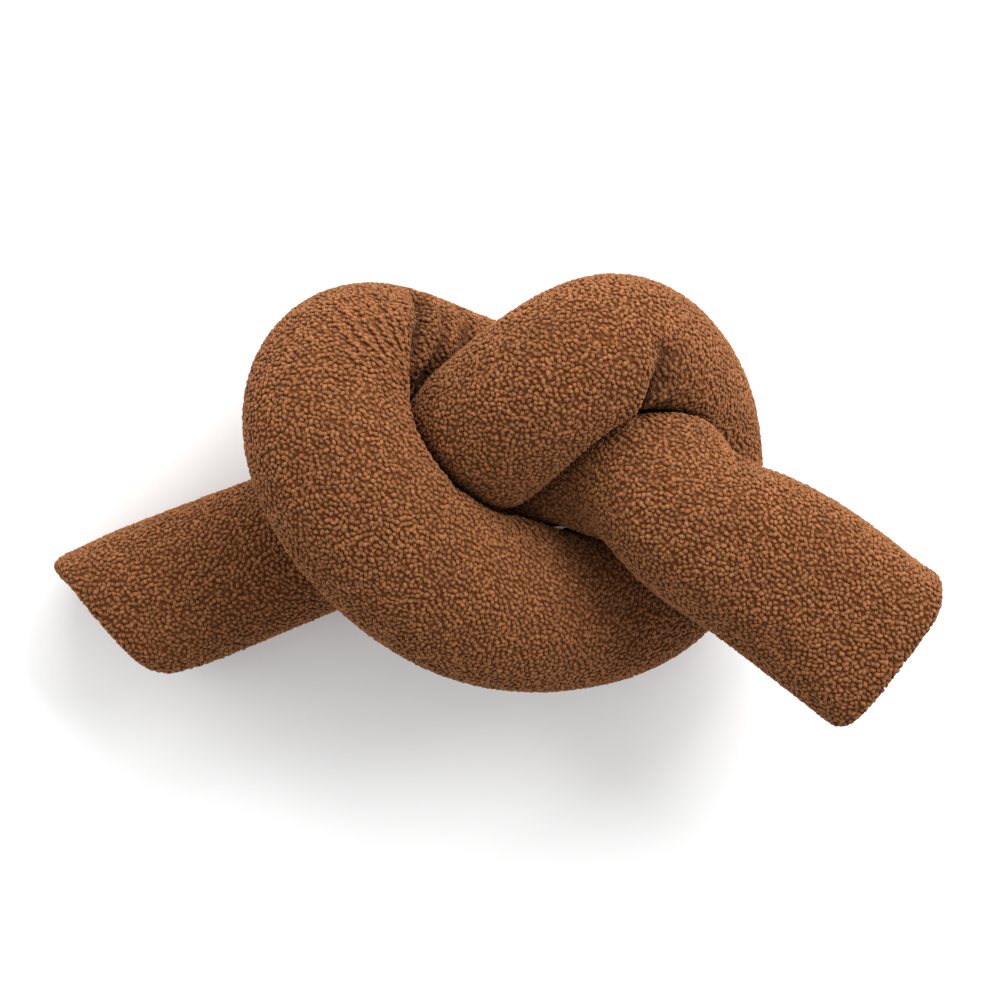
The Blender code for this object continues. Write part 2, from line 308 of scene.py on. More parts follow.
def fold_depth(places, angle):
    """How far the creases go in: across each mark a rounded V, deep times e to the power
    -(root of 0.04 + (gap / wide)^2), from the distance to its nearest point on the skin laid
    flat, with the depth running straight from one end to the other. Swells, with a depth below
    zero, have the same shape."""
    marks = np.array([row[1:] for row in FOLDS])
    turns = np.array([name.startswith("round") for name in FOLD_COLUMNS])
    marks[:, ~turns] *= MM
    marks[:, turns] = np.radians(marks[:, turns])
    total = np.zeros((len(places), angle.shape[-1]))
    for along_a, round_a, deep_a, along_b, round_b, deep_b, wide in marks:
        turn = (angle - round_a + np.pi) % (2.0 * np.pi) - np.pi
        x = places[:, None] - along_a + 0.0 * turn
        y = turn * SKIN_RADIUS
        run = np.array([along_b - along_a, (round_b - round_a) * SKIN_RADIUS])
        share = np.clip((x * run[0] + y * run[1]) / (run @ run), 0.0, 1.0)
        gone = (x - share * run[0]) ** 2 + (y - share * run[1]) ** 2
        deep = deep_a + (deep_b - deep_a) * share
        total += deep * np.exp(0.2 - np.sqrt(0.04 + gone / wide**2))
    return total


def squeeze_of(tube, places):
    """How much shorter the skin is than the tube's middle line: 0 where it is as long, 1 where it
    is bunched to nothing on the inside of a bend."""
    stretch = np.linalg.norm(np.gradient(tube, places, axis=0), axis=-1)
    return np.clip(1.0 - stretch, 0.0, 1.0)


def bunched(places, angle, squeeze):
    """Pleats across the tube, and how strongly the cloth is bunched at each point, from 0 to 1: a
    bell over each place of the table, and wherever a bend squeezes the skin, where the pleats are
    twice as long. A pleat is a sine of the distance along the tube, with its lean, bent by slower
    sines of both directions."""
    run = places[:, None]
    bent = (0.9 * np.sin(run / PLEAT_DRIFT[0] + 2.0 * angle)
            + 0.8 * np.sin(3.0 * angle - run / PLEAT_DRIFT[1]))
    strength = np.clip(squeeze * SQUEEZE_GAIN - SQUEEZE_START, 0.0, 1.0)
    pleats = strength * np.sin(np.pi * run / PLEAT_LENGTH + bent)
    for along, middle, reach, turn, lean, share in (row[1:] for row in BUNCHES):
        away = (np.degrees(angle) - middle + 180.0) % 360.0 - 180.0
        offset = run / MM - along - lean * away
        bell = share * np.exp(-(offset / reach) ** 2 - (away / turn) ** 2)
        pleats = pleats + bell * np.sin(2.0 * np.pi * offset * MM / PLEAT_LENGTH + bent)
        strength = strength + bell
    return PLEAT_HEIGHT * pleats, np.clip(strength, 0.0, 1.0)


def closing_rings(ring, centre, outward, end, panel_steps):
    """Rings that close an end: straight on, then a quarter circle of the rim's radius in towards
    the middle, then a low dome. The lower corner has the larger radius."""
    cap, edge, corner, dome = np.array(end) * MM
    angle = np.linspace(0.0, 2.0 * np.pi, len(ring), endpoint=False)
    rim = edge + corner * np.clip(-np.cos(angle), 0.0, None) ** 2
    spoke = ring - centre
    reach = np.linalg.norm(spoke, axis=1)
    past = np.clip(RIM_STEPS[1:, None] * cap - (cap - rim), 0.0, None)
    inset = rim - np.sqrt(np.maximum(rim**2 - past**2, 0.0))
    sides = centre + spoke * ((reach - inset) / reach)[..., None]
    sides = sides + outward * (RIM_STEPS[1:] * cap)[:, None, None]
    last = sides[-1] - centre - outward * cap
    rise = cap + dome * (1.0 - panel_steps**2)
    panel = centre + last * panel_steps[:, None, None] + outward * rise[:, None, None]
    return np.concatenate([sides, panel])


def draw_corners(grid, ahead, rim):
    """Draws the corners of the end seams out: each point moves by the pull times e to the power
    -(distance to the corner / reach)^2. rim is how many rings a seam lies in from the grid's own
    end."""
    for end, turn, out, level, reach in (row[1:] for row in CORNERS):
        outward = (-ahead[0], ahead[-1])[end]
        left = np.cross((0.0, 0.0, 1.0), ahead[-end])
        ring = grid[(rim, -1 - rim)[end]]
        corner = ring[round(turn / 360.0 * grid.shape[1])]
        near = np.exp(-(((grid - corner) / (reach * MM)) ** 2).sum(-1))
        grid = grid + near[..., None] * (outward * out + left * level) * MM
    return grid


class Tube:
    """The tube cut into sections: distances, centres, rays out of each, and how far a ray may go
    free, up to the next strand and down to the ground."""

    def __init__(self, rings, segments):
        along, fine = tube_line()
        self.places = np.linspace(0.0, along[-1], rings)
        self.rows = read_line(along, fine, self.places)
        self.centres = self.rows[:, :3]
        self.ahead, level, up = section_axes(self.centres)
        self.angle = np.linspace(0.0, 2.0 * np.pi, segments, endpoint=False)[None, :]
        lean = level + self.ahead * column(self.rows, "slant")
        self.rays = (lean[:, None] * np.cos(self.angle)[..., None]
                     + up[:, None] * np.sin(self.angle)[..., None])
        self.free = free_radius(self.angle, self.rows)
        self.near = pressed_radius(self.places, self.rows, self.rays, self.free, along, fine)
        down = -self.rays[..., 2]
        self.ground = np.where(down > 1e-6, self.centres[:, None, 2] / np.maximum(down, 1e-6), 1.0)

    def surface(self, change, inset, panel_steps):
        """The closed skin as a grid: the free section with its change, cut back where strands
        press on each other or rest on the ground, moved in by inset, and both ends closed."""
        radius = soft_least(self.free + np.maximum(change, 0.0), self.near, PRESS_BLEND)
        radius = soft_least(radius + np.minimum(change, 0.0), self.ground, GROUND_BLEND)
        tube = self.centres[:, None] + (radius - inset)[..., None] * self.rays
        first = closing_rings(tube[0], self.centres[0], -self.ahead[0], LEFT_END, panel_steps)
        last = closing_rings(tube[-1], self.centres[-1], self.ahead[-1], RIGHT_END, panel_steps)
        grid = np.concatenate([first[::-1], tube, last])
        return draw_corners(grid, self.ahead, len(panel_steps))

    def with_ends(self, field, panel_steps):
        """A field of the tube's own sections with zeros for the rings that close its ends."""
        more = len(RIM_STEPS) - 1 + len(panel_steps)
        blank = np.zeros((more, field.shape[1]))
        return np.concatenate([blank, field, blank])


def straight_rest(tube, inset, panel_steps):
    """The same skin on a straight tube, which is how its cloth was cut."""
    centres = np.stack([tube.places, 0.0 * tube.places, 0.0 * tube.places], axis=1)
    flat = np.cos(tube.angle) + 0.0 * tube.free
    rays = np.stack([0.0 * flat, flat, np.sin(tube.angle) + 0.0 * flat], axis=-1)
    rest = centres[:, None] + (tube.free - inset)[..., None] * rays
    ahead = np.array([1.0, 0.0, 0.0])
    first = closing_rings(rest[0], centres[0], -ahead, LEFT_END, panel_steps)
    last = closing_rings(rest[-1], centres[-1], ahead, RIGHT_END, panel_steps)
    return np.concatenate([first[::-1], rest, last])


def with_tips(grid):
    """The grid's points in a row, then the middle of its first ring and of its last."""
    tips = np.stack([grid[0].mean(axis=0), grid[-1].mean(axis=0)])
    return np.concatenate([grid.reshape(-1, 3), tips])


def settled_change(tube, inset):
    """How far stuffing and tension move the cloth out or in along each ray: the knotted skin is
    left to settle under Cloth towards the lengths of the straight tube that it was cut as, blown
    up by its filling and held where strands press on each other or rest."""
    grid = tube.surface(0.0 * tube.free, inset, SETTLE_PANEL_STEPS)
    start = with_tips(grid)
    mesh = mesh_from_triangles("settling", start, closed_grid_triangles(*grid.shape[:2]))
    cloth = bpy.data.objects.new("settling", mesh)
    scene = bpy.context.scene
    scene.collection.objects.link(cloth)
    cloth.shape_key_add(name="knotted")
    rest = cloth.shape_key_add(name="straight")
    lengths = with_tips(straight_rest(tube, inset, SETTLE_PANEL_STEPS)) * SETTLE_SLACK
    rest.data.foreach_set("co", np.ascontiguousarray(lengths, dtype=np.float32).ravel())
    rest.value = 0.0
    pressed = tube.with_ends(tube.free - tube.near, SETTLE_PANEL_STEPS)
    hold = np.maximum(np.clip((pressed - HOLD_PRESSED[0]) / HOLD_PRESSED[1], 0.0, 1.0),
                      np.clip((HOLD_HEIGHT[0] - grid[..., 2]) / HOLD_HEIGHT[1], 0.0, 1.0))
    hold = np.round(hold.ravel(), 1)
    held = cloth.vertex_groups.new(name="held")
    for share in np.unique(hold[hold > 0.0]):
        held.add(np.flatnonzero(hold == share).tolist(), float(share), "REPLACE")
    step = cloth.modifiers.new("settle", "CLOTH")
    for name, value in CLOTH.items():
        setattr(step.settings, name, value)
    step.settings.vertex_group_mass = held.name
    step.settings.rest_shape_key = rest
    step.settings.effector_weights.gravity = 0.0
    step.collision_settings.use_collision = False
    step.point_cache.frame_start = 1
    step.point_cache.frame_end = SETTLE_FRAMES
    for frame_number in range(1, SETTLE_FRAMES + 1):
        scene.frame_set(frame_number)
    done = cloth.evaluated_get(bpy.context.evaluated_depsgraph_get()).data
    after = np.empty(len(start) * 3, dtype=np.float32)
    done.vertices.foreach_get("co", after)
    scene.frame_set(1)
    bpy.data.objects.remove(cloth)
    bpy.data.meshes.remove(mesh)
    more = (grid.shape[0] - len(tube.places)) // 2
    moved = (after.reshape(-1, 3) - start)[:-2].reshape(grid.shape)[more:-more]
    change = (moved * tube.rays).sum(-1)
    return np.clip(change, -SETTLE_CAP, SETTLE_CAP)


def spread_over(change, coarse, fine):
    """The change on the coarse tube read at the fine tube's rays: straight between rings and
    between points round them."""
    share = fine.places / coarse.places[-1] * (len(coarse.places) - 1)
    low = np.minimum(share.astype(int), len(coarse.places) - 2)
    part = (share - low)[:, None]
    rows = change[low] * (1.0 - part) + change[low + 1] * part
    turn = fine.angle[0] / (2.0 * np.pi) * change.shape[1]
    left = turn.astype(int) % change.shape[1]
    over = (turn - turn.astype(int))[None, :]
    return rows[:, left] * (1.0 - over) + rows[:, (left + 1) % change.shape[1]] * over


@functools.lru_cache(maxsize=None)
def cushion_skin(rings, segments, inset):
    """The backing of the pile as grids: as it was stuffed, once its cloth has settled and creased,
    and with its pleats, then how far each point is pressed in by another strand or a crease and
    how strongly the cloth is bunched there."""
    tube = Tube(rings, segments)
    plain = tube.surface(0.0 * tube.free, inset, PANEL_STEPS)
    squeeze = squeeze_of(tube.centres[:, None] + tube.free[..., None] * tube.rays, tube.places)
    pleats, strength = bunched(tube.places, tube.angle, squeeze)
    folds = fold_depth(tube.places, tube.angle)
    change = -folds
    coarse = Tube(*SETTLE_GRID)
    change = change + spread_over(settled_change(coarse, inset), coarse, tube)
    creased = tube.surface(change, inset, PANEL_STEPS)
    pleated = tube.surface(change + pleats, inset, PANEL_STEPS)
    middle = middle_of(Tube(*SOLID_GRID).surface(0.0, 0.0, SOLID_PANEL_STEPS))
    pressed = tube.with_ends(np.maximum(tube.free - tube.near, folds), PANEL_STEPS)
    strength = tube.with_ends(strength, PANEL_STEPS)
    return plain - middle, creased - middle, pleated - middle, pressed, strength


def middle_of(grid):
    """The shift in X and Y that puts the middle of the skin's box over the origin."""
    flat = grid.reshape(-1, 3)
    shift = (flat.min(axis=0) + flat.max(axis=0)) / 2.0
    shift[2] = 0.0
    return shift


def grid_normals(grid):
    """Outward direction at each point of the grid: the cross product of the steps along the tube
    and round it."""
    run = np.gradient(grid, axis=0)
    wrapped = np.concatenate([grid[:, -1:], grid, grid[:, :1]], axis=1)
    turn = wrapped[:, 2:] - wrapped[:, :-2]
    normal = np.cross(turn, run)
    return normal / np.maximum(np.linalg.norm(normal, axis=-1, keepdims=True), 1e-12)


# ---------------------------------------------------------------- meshes

def mesh_from_triangles(name, points, triangles):
    """A smooth mesh of triangles, put in as whole arrays."""
    mesh = bpy.data.meshes.new(name)
    mesh.vertices.add(len(points))
    mesh.vertices.foreach_set("co", np.ascontiguousarray(points, dtype=np.float32).ravel())
    mesh.loops.add(triangles.size)
    mesh.loops.foreach_set("vertex_index", triangles.astype(np.int32).ravel())
    mesh.polygons.add(len(triangles))
    mesh.polygons.foreach_set("loop_start", np.arange(0, triangles.size, 3, dtype=np.int32))
    mesh.update(calc_edges=True)
    mesh.shade_smooth()
    return mesh


def closed_grid_triangles(rings, segments):
    """Triangles of a closed tube of rings, with one more point at each end: two to each cell and a
    fan round each end point. The end points follow the grid's own."""
    here = np.arange(segments)
    beside = (here + 1) % segments
    start = (np.arange(rings - 1) * segments)[:, None]
    a, b = start + here, start + beside
    c, d = b + segments, a + segments
    cells = np.stack([a, b, c, a, c, d], axis=-1).reshape(-1, 3)
    tip = rings * segments
    far = (rings - 1) * segments
    first = np.stack([np.full(segments, tip), beside, here], axis=-1)
    last = np.stack([np.full(segments, tip + 1), far + here, far + beside], axis=-1)
    return np.concatenate([cells, first, last])


def add_point_value(mesh, name, values):
    """A number at each point, for the material to read."""
    data = mesh.attributes.new(name, "FLOAT", "POINT")
    data.data.foreach_set("value", np.ascontiguousarray(values, dtype=np.float32).ravel())


def add_object(mesh, material):
    """An object for the mesh, in the scene, with its material."""
    mesh.materials.append(material)
    piece = bpy.data.objects.new(mesh.name, mesh)
    bpy.context.scene.collection.objects.link(piece)
    return piece


# ---------------------------------------------------------------- the pile

def scatter(grid, keep, count, rng):
    """Spots spread over the skin by area: a cell is drawn with the chance of its area, then a
    place in it by two even numbers. Cells that keep leaves out get none. A spot is a ring, a
    point round it and the two shares on to the next."""
    wrapped = np.concatenate([grid, grid[:, :1]], axis=1)
    side_a = wrapped[1:, :-1] - wrapped[:-1, :-1]
    side_b = wrapped[:-1, 1:] - wrapped[:-1, :-1]
    area = np.linalg.norm(np.cross(side_a, side_b), axis=-1) * keep[:-1]
    total = np.cumsum(area.ravel())
    cell = np.searchsorted(total, rng.random(count) * total[-1])
    cell = np.minimum(cell, area.size - 1)
    return cell // grid.shape[1], cell % grid.shape[1], *rng.random((2, count))


def read_grid(field, spots):
    """A field of the grid at the spots, straight between its four points."""
    ring, spot, u, v = spots
    beside = (spot + 1) % field.shape[1]
    shape = (-1,) + (1,) * (field.ndim - 2)
    u, v = u.reshape(shape), v.reshape(shape)
    low = field[ring, spot] * (1.0 - v) + field[ring, beside] * v
    high = field[ring + 1, spot] * (1.0 - v) + field[ring + 1, beside] * v
    return low * (1.0 - u) + high * u


def close_pairs(points, reach):
    """Pairs of points nearer each other than reach: points are sorted into cubes of that size and
    each cube is matched with itself and the thirteen neighbours on one side of it."""
    cube = np.floor((points - points.min(axis=0)) / reach).astype(np.int64) + 1
    sizes = cube.max(axis=0) + 2
    key = (cube[:, 0] * sizes[1] + cube[:, 1]) * sizes[2] + cube[:, 2]
    order = np.argsort(key, kind="stable")
    key = key[order]
    steps = [(x, y, z) for x in (-1, 0, 1) for y in (-1, 0, 1) for z in (-1, 0, 1)]
    pairs = []
    for x, y, z in steps[13:]:
        wanted = key + (x * sizes[1] + y) * sizes[2] + z
        start = np.searchsorted(key, wanted, side="left")
        stop = np.searchsorted(key, wanted, side="right")
        if (x, y, z) == (0, 0, 0):
            start = np.arange(len(key)) + 1
        number = np.maximum(stop - start, 0)
        first = np.repeat(np.arange(len(key)), number)
        offset = np.arange(number.sum()) - np.repeat(np.cumsum(number) - number, number)
        second = np.repeat(start, number) + offset
        near = ((points[order[first]] - points[order[second]]) ** 2).sum(-1) < reach**2
        pairs.append(np.stack([order[first[near]], order[second[near]]]))
    return np.concatenate(pairs, axis=1)


def spread_out(points, reach, rng):
    """A choice of points no two of which are nearer than reach. Each point has a random rank; a
    point is kept once it outranks every undecided neighbour, and its neighbours then fall out."""
    a, b = close_pairs(points, reach)
    rank = rng.permutation(len(points))
    kept = np.zeros(len(points), dtype=bool)
    open_ = np.ones(len(points), dtype=bool)
    while open_.any():
        live = open_[a] & open_[b]
        a, b = a[live], b[live]
        best = np.full(len(points), -1)
        np.maximum.at(best, a, rank[b])
        np.maximum.at(best, b, rank[a])
        winner = open_ & (rank > best)
        kept |= winner
        open_ &= ~winner
        open_[b[winner[a]]] = False
        open_[a[winner[b]]] = False
    return np.flatnonzero(kept)


def curl_shapes(points, normals, across, aligned, shape, rng):
    """Bent beads lying on the skin. The spine of each is an arc in the skin's plane: at share t of
    its length it has turned by t times the bend. It rises as 1 - (2t - 1)^2 and its half width is
    the root of 1 - (2t - 1)^4, so both ends are blunt and tuck in under their neighbours. A curl
    heads any way on loose cloth, and along across where it is aligned."""
    count = len(points)
    t = np.concatenate([[0.0], CURL_RINGS, [1.0]])[None, :]
    length = shape.length * rng.uniform(*CURL_LENGTHS, count)[:, None]
    half = shape.width / 2.0 * rng.uniform(*CURL_WIDTHS, count)[:, None]
    bend = np.minimum(rng.uniform(*CURL_BENDS, count)[:, None], CURL_TIGHTEST * length / half)
    bend = bend * (1.0 - ALIGNED_BEND * aligned[:, None])
    bend = bend * rng.choice((-1.0, 1.0), count)[:, None]
    height = shape.height * rng.uniform(*CURL_HEIGHTS, count)[:, None]
    swing = (t - 0.5) * bend
    x = length * np.sin(swing) / bend
    y = length * (np.cos(bend / 3.0) - np.cos(swing)) / bend
    end = 2.0 * t - 1.0
    z = height * (1.0 - end**2) - shape.sink + CURL_TILT * rng.uniform(-1, 1, (count, 1)) * end
    wide = half * np.sqrt(np.maximum(1.0 - end**4, 0.0))
    wide = wide * (1.0 + rng.uniform(*CURL_TAPER, (count, 1)) * end)
    tall = wide * CURL_FLATNESS
    heading = rng.uniform(-np.pi / 2.0, np.pi / 2.0, count) * (1.0 - ALIGNED_HEADING * aligned)
    side = across - normals * (across * normals).sum(-1, keepdims=True)
    side /= np.linalg.norm(side, axis=1)[:, None]
    other = np.cross(normals, side)
    c, s = np.cos(heading)[:, None], np.sin(heading)[:, None]
    e1, e2 = side * c + other * s, other * c - side * s
    uneven = rng.uniform(*CURL_UNEVEN, (count, t.size, len(CURL_SIDES)))
    out_x = -np.sin(swing)[..., None] * np.cos(CURL_SIDES) * wide[..., None] * uneven
    out_y = np.cos(swing)[..., None] * np.cos(CURL_SIDES) * wide[..., None] * uneven
    out_z = np.sin(CURL_SIDES) * tall[..., None] * uneven
    px, py, pz = x[..., None] + out_x, y[..., None] + out_y, z[..., None] + out_z
    spots = (points[:, None, None] + px[..., None] * e1[:, None, None]
             + py[..., None] * e2[:, None, None] + pz[..., None] * normals[:, None, None])
    full = shape.height - shape.sink + shape.width * CURL_FLATNESS / 2.0
    tip = np.clip(pz / full, 0.0, TIP_MOST)
    body = spots[:, 1:-1].reshape(count, -1, 3)
    ends = spots[:, [0, -1], 0]
    tips = np.concatenate([tip[:, 1:-1].reshape(count, -1), np.zeros((count, 2))], axis=1)
    return np.concatenate([body, ends], axis=1), tips


def curl_triangles(count):
    """The same closed bead for each curl, its numbers moved on by the points of those before."""
    one = closed_grid_triangles(len(CURL_RINGS), len(CURL_SIDES))
    stride = len(CURL_RINGS) * len(CURL_SIDES) + 2
    return (one[None] + (np.arange(count) * stride)[:, None, None]).reshape(-1, 3)


# ---------------------------------------------------------------- materials

class Nodes:
    """A short hand for building a material: add a node with its settings, link sockets."""

    def __init__(self, name):
        self.material = bpy.data.materials.new(name)
        self.material.use_nodes = True
        self.tree = self.material.node_tree
        self.shader = self.tree.nodes["Principled BSDF"]

    def add(self, kind, **settings):
        node = self.tree.nodes.new(kind)
        for key, value in settings.items():
            if key in node.inputs:
                node.inputs[key].default_value = value
            else:
                setattr(node, key, value)
        return node

    def link(self, source, target):
        self.tree.links.new(source, target)

    def texture(self, kind, place, **settings):
        """A texture node read at the place."""
        node = self.add("ShaderNodeTex" + kind, **settings)
        self.link(place, node.inputs["Vector"])
        return node

    def scaled(self, value, factor, more):
        """The value times a factor, with more added: a number or another value."""
        node = self.add("ShaderNodeMath", operation="MULTIPLY_ADD")
        self.link(value, node.inputs[0])
        node.inputs[1].default_value = factor
        if isinstance(more, float):
            node.inputs[2].default_value = more
        else:
            self.link(more, node.inputs[2])
        return node.outputs[0]

    def ramp(self, value, first, last):
        """A ramp read at the value, from one position and colour to another."""
        node = self.add("ShaderNodeValToRGB")
        self.link(value, node.inputs["Fac"])
        for stop, (position, colour) in zip(node.color_ramp.elements, (first, last)):
            stop.position, stop.color = position, rgba(colour)
        return node

    def relief(self, height, **settings):
        """A bump of the surface by the height."""
        node = self.add("ShaderNodeBump", **settings)
        self.link(height, node.inputs["Height"])
        self.link(node.outputs["Normal"], self.shader.inputs["Normal"])


def rgba(colour):
    """The colour with full opacity."""
    return (*colour[:3], 1.0)


def fleece_shader(nodes, looks, roughness):
    """What skin and curls share: a dull fibre with a soft sheen towards grazing angles."""
    shader = nodes.shader
    shader.inputs["Roughness"].default_value = roughness
    shader.inputs["Specular IOR Level"].default_value = 0.12
    shader.inputs["Sheen Weight"].default_value = looks.sheen
    shader.inputs["Sheen Roughness"].default_value = 0.45
    shader.inputs["Sheen Tint"].default_value = rgba(looks.sheen_colour)


def with_painted_crease_shade(nodes, value):
    """The value darkened towards creases and where strands meet, as painted shade."""
    deep = nodes.add("ShaderNodeAttribute", attribute_name="deep").outputs["Fac"]
    product = nodes.add("ShaderNodeMath", operation="MULTIPLY")
    nodes.link(nodes.scaled(deep, -CREASE_SHADE, 1.0), product.inputs[0])
    nodes.link(value, product.inputs[1])
    return product.outputs[0]


def pile_material(looks):
    """Curls: dark at the root and tan at the tip, the dark roots partly their own colour and
    partly painted shade between the curls; each a little lighter or darker than the next, with
    patches over the cloth and a fine fibre grain."""
    nodes = Nodes("fleece_curls")
    place = nodes.add("ShaderNodeTexCoord").outputs["Object"]
    tip = nodes.add("ShaderNodeAttribute", attribute_name="tip").outputs["Fac"]
    shade = nodes.add("ShaderNodeAttribute", attribute_name="shade").outputs["Fac"]
    # darker towards the roots: partly the fleece's own colour, partly painted shade between curls
    ramp = nodes.ramp(tip, (0.10, looks.root_and_shade_colour), (0.95, looks.tip_colour))
    ramp.color_ramp.elements.new(0.5).color = rgba(looks.middle_colour)
    patches = nodes.texture("Noise", place, Scale=28.0, Detail=2.0, Roughness=0.5)
    fibres = nodes.texture("Noise", place, Scale=1500.0, Detail=3.0, Roughness=0.65)
    light = nodes.scaled(shade, 0.42, 0.56)
    patched = nodes.scaled(patches.outputs["Fac"], 0.36, light)
    grain = nodes.scaled(fibres.outputs["Fac"], 0.24, patched)
    tone = nodes.add("ShaderNodeHueSaturation", Saturation=1.0)
    nodes.link(ramp.outputs["Color"], tone.inputs["Color"])
    nodes.link(with_painted_crease_shade(nodes, grain), tone.inputs["Value"])
    nodes.link(tone.outputs["Color"], nodes.shader.inputs["Base Color"])
    nodes.relief(fibres.outputs["Fac"], Strength=0.6, Distance=0.0006)
    fleece_shader(nodes, looks, 0.86)
    return nodes.material


def skin_material(looks):
    """The lower curls between those of the pile: rounded cells with dark gaps, drawn out by noise,
    in colour and in relief. The dark of the gaps is partly the backing's own colour and partly
    painted shade between the lower curls."""
    nodes = Nodes("fleece_backing")
    place = nodes.add("ShaderNodeTexCoord").outputs["Object"]
    drift = nodes.texture("Noise", place, Scale=170.0, Detail=1.0)
    shift = nodes.add("ShaderNodeVectorMath", operation="MULTIPLY_ADD")
    nodes.link(drift.outputs["Color"], shift.inputs[0])
    shift.inputs[1].default_value = (0.006, 0.006, 0.006)
    nodes.link(place, shift.inputs[2])
    cells = nodes.texture("Voronoi", shift.outputs["Vector"], Scale=230.0)
    fibres = nodes.texture("Noise", place, Scale=1500.0, Detail=3.0, Roughness=0.65)
    # dark gaps: partly painted shade between the lower curls
    ramp = nodes.ramp(cells.outputs["Distance"], (0.12, looks.middle_colour),
                      (0.62, looks.root_and_shade_colour))
    grain = nodes.scaled(fibres.outputs["Fac"], 0.5, 0.75)
    tone = nodes.add("ShaderNodeHueSaturation")
    nodes.link(ramp.outputs["Color"], tone.inputs["Color"])
    nodes.link(with_painted_crease_shade(nodes, grain), tone.inputs["Value"])
    nodes.link(tone.outputs["Color"], nodes.shader.inputs["Base Color"])
    nodes.relief(cells.outputs["Distance"], Strength=1.0, Distance=0.003, invert=True)
    fleece_shader(nodes, looks, 0.92)
    return nodes.material


def floor_material(colour):
    """A plain matt floor, its tone very slightly uneven."""
    nodes = Nodes("studio_floor")
    place = nodes.add("ShaderNodeTexCoord").outputs["Object"]
    grain = nodes.texture("Noise", place, Scale=40.0, Detail=2.0)
    mix = nodes.add("ShaderNodeMix", data_type="RGBA")
    nodes.link(grain.outputs["Fac"], mix.inputs["Factor"])
    mix.inputs["A"].default_value = rgba([c * 0.985 for c in colour])
    mix.inputs["B"].default_value = rgba(colour)
    nodes.link(mix.outputs["Result"], nodes.shader.inputs["Base Color"])
    nodes.shader.inputs["Roughness"].default_value = 0.95
    nodes.shader.inputs["Specular IOR Level"].default_value = 0.1
    return nodes.material


# ---------------------------------------------------------------- settings

class KnotShape(bpy.types.PropertyGroup):
    """Sizes of the cloth and its pile."""
    rings: bpy.props.IntProperty(
        name="Rings", description="Sections along the tube", default=1080, min=60, max=1500)
    segments: bpy.props.IntProperty(
        name="Segments", description="Points round a section", default=176, min=24, max=400)
    inset: bpy.props.FloatProperty(
        name="Backing depth", description="How far the backing lies inside the outline",
        default=0.0024, min=0.0, max=0.01, subtype="DISTANCE", unit="LENGTH")
    spacing: bpy.props.FloatProperty(
        name="Curl spacing", description="Least distance between two curls",
        default=0.0029, min=0.002, max=0.02, subtype="DISTANCE", unit="LENGTH")
    length: bpy.props.FloatProperty(
        name="Curl length", description="Usual length of a curl", default=0.0048,
        min=0.001, max=0.03, subtype="DISTANCE", unit="LENGTH")
    width: bpy.props.FloatProperty(
        name="Curl width", description="Usual thickness of a curl", default=0.0034,
        min=0.0005, max=0.02, subtype="DISTANCE", unit="LENGTH")
    height: bpy.props.FloatProperty(
        name="Curl height", description="How high the middle of a curl stands over the backing",
        default=0.0008, min=0.0, max=0.01, subtype="DISTANCE", unit="LENGTH")
    sink: bpy.props.FloatProperty(
        name="Curl sink", description="How far a curl's spine starts below the backing",
        default=0.0002, min=-0.01, max=0.01, subtype="DISTANCE", unit="LENGTH")
    seed: bpy.props.IntProperty(
        name="Seed", description="Start of the scatter's random numbers", default=7)


class KnotLooks(bpy.types.PropertyGroup):
    """Colours of the fleece."""
    tip_colour: bpy.props.FloatVectorProperty(
        name="Tips", description="Colour of the curls' tops", subtype="COLOR", size=3,
        default=(0.214, 0.083, 0.031), min=0.0, max=1.0)
    middle_colour: bpy.props.FloatVectorProperty(
        name="Sides", description="Colour half way down the curls", subtype="COLOR", size=3,
        default=(0.142, 0.049, 0.0155), min=0.0, max=1.0)
    # The roots' dark colour is partly their own and partly painted shade down among the curls.
    root_and_shade_colour: bpy.props.FloatVectorProperty(
        name="Roots", description="Colour of the roots and the backing", subtype="COLOR", size=3,
        default=(0.090, 0.025, 0.006), min=0.0, max=1.0)
    sheen: bpy.props.FloatProperty(
        name="Sheen", description="Strength of the sheen", default=0.35, min=0.0, max=1.0)
    sheen_colour: bpy.props.FloatVectorProperty(
        name="Sheen colour", description="Colour of the sheen", subtype="COLOR", size=3,
        default=(0.90, 0.46, 0.22), min=0.0, max=1.0)


class KnotStudio(bpy.types.PropertyGroup):
    """Floor, lights and camera."""
    floor_colour: bpy.props.FloatVectorProperty(
        name="Floor", description="Colour of the floor", subtype="COLOR", size=3,
        default=(0.9, 0.9, 0.9), min=0.0, max=1.0)
    tilt: bpy.props.FloatProperty(
        name="Camera tilt", description="Lean of the view from straight down, to the loops' side",
        default=math.radians(8.0), subtype="ANGLE", unit="ROTATION")
    distance: bpy.props.FloatProperty(
        name="Camera distance", description="From the camera to the middle of the cushion",
        default=2.2, min=0.5, max=10.0, subtype="DISTANCE", unit="LENGTH")
    frame_width: bpy.props.FloatProperty(
        name="Frame width", description="Width seen at the middle of the cushion",
        default=0.73, min=0.1, max=5.0, subtype="DISTANCE", unit="LENGTH")
    key: bpy.props.FloatProperty(
        name="Key light", description="Power of the light over the right loop", default=70.0,
        min=0.0)
    top: bpy.props.FloatProperty(
        name="Top light", description="Power of the light beyond the loops", default=46.0, min=0.0)
    side: bpy.props.FloatProperty(
        name="Side light", description="Power of the light at the left", default=19.0, min=0.0)
    sky: bpy.props.FloatProperty(
        name="Surround", description="Strength of the even light all round", default=0.82, min=0.0)


# ---------------------------------------------------------------- operators

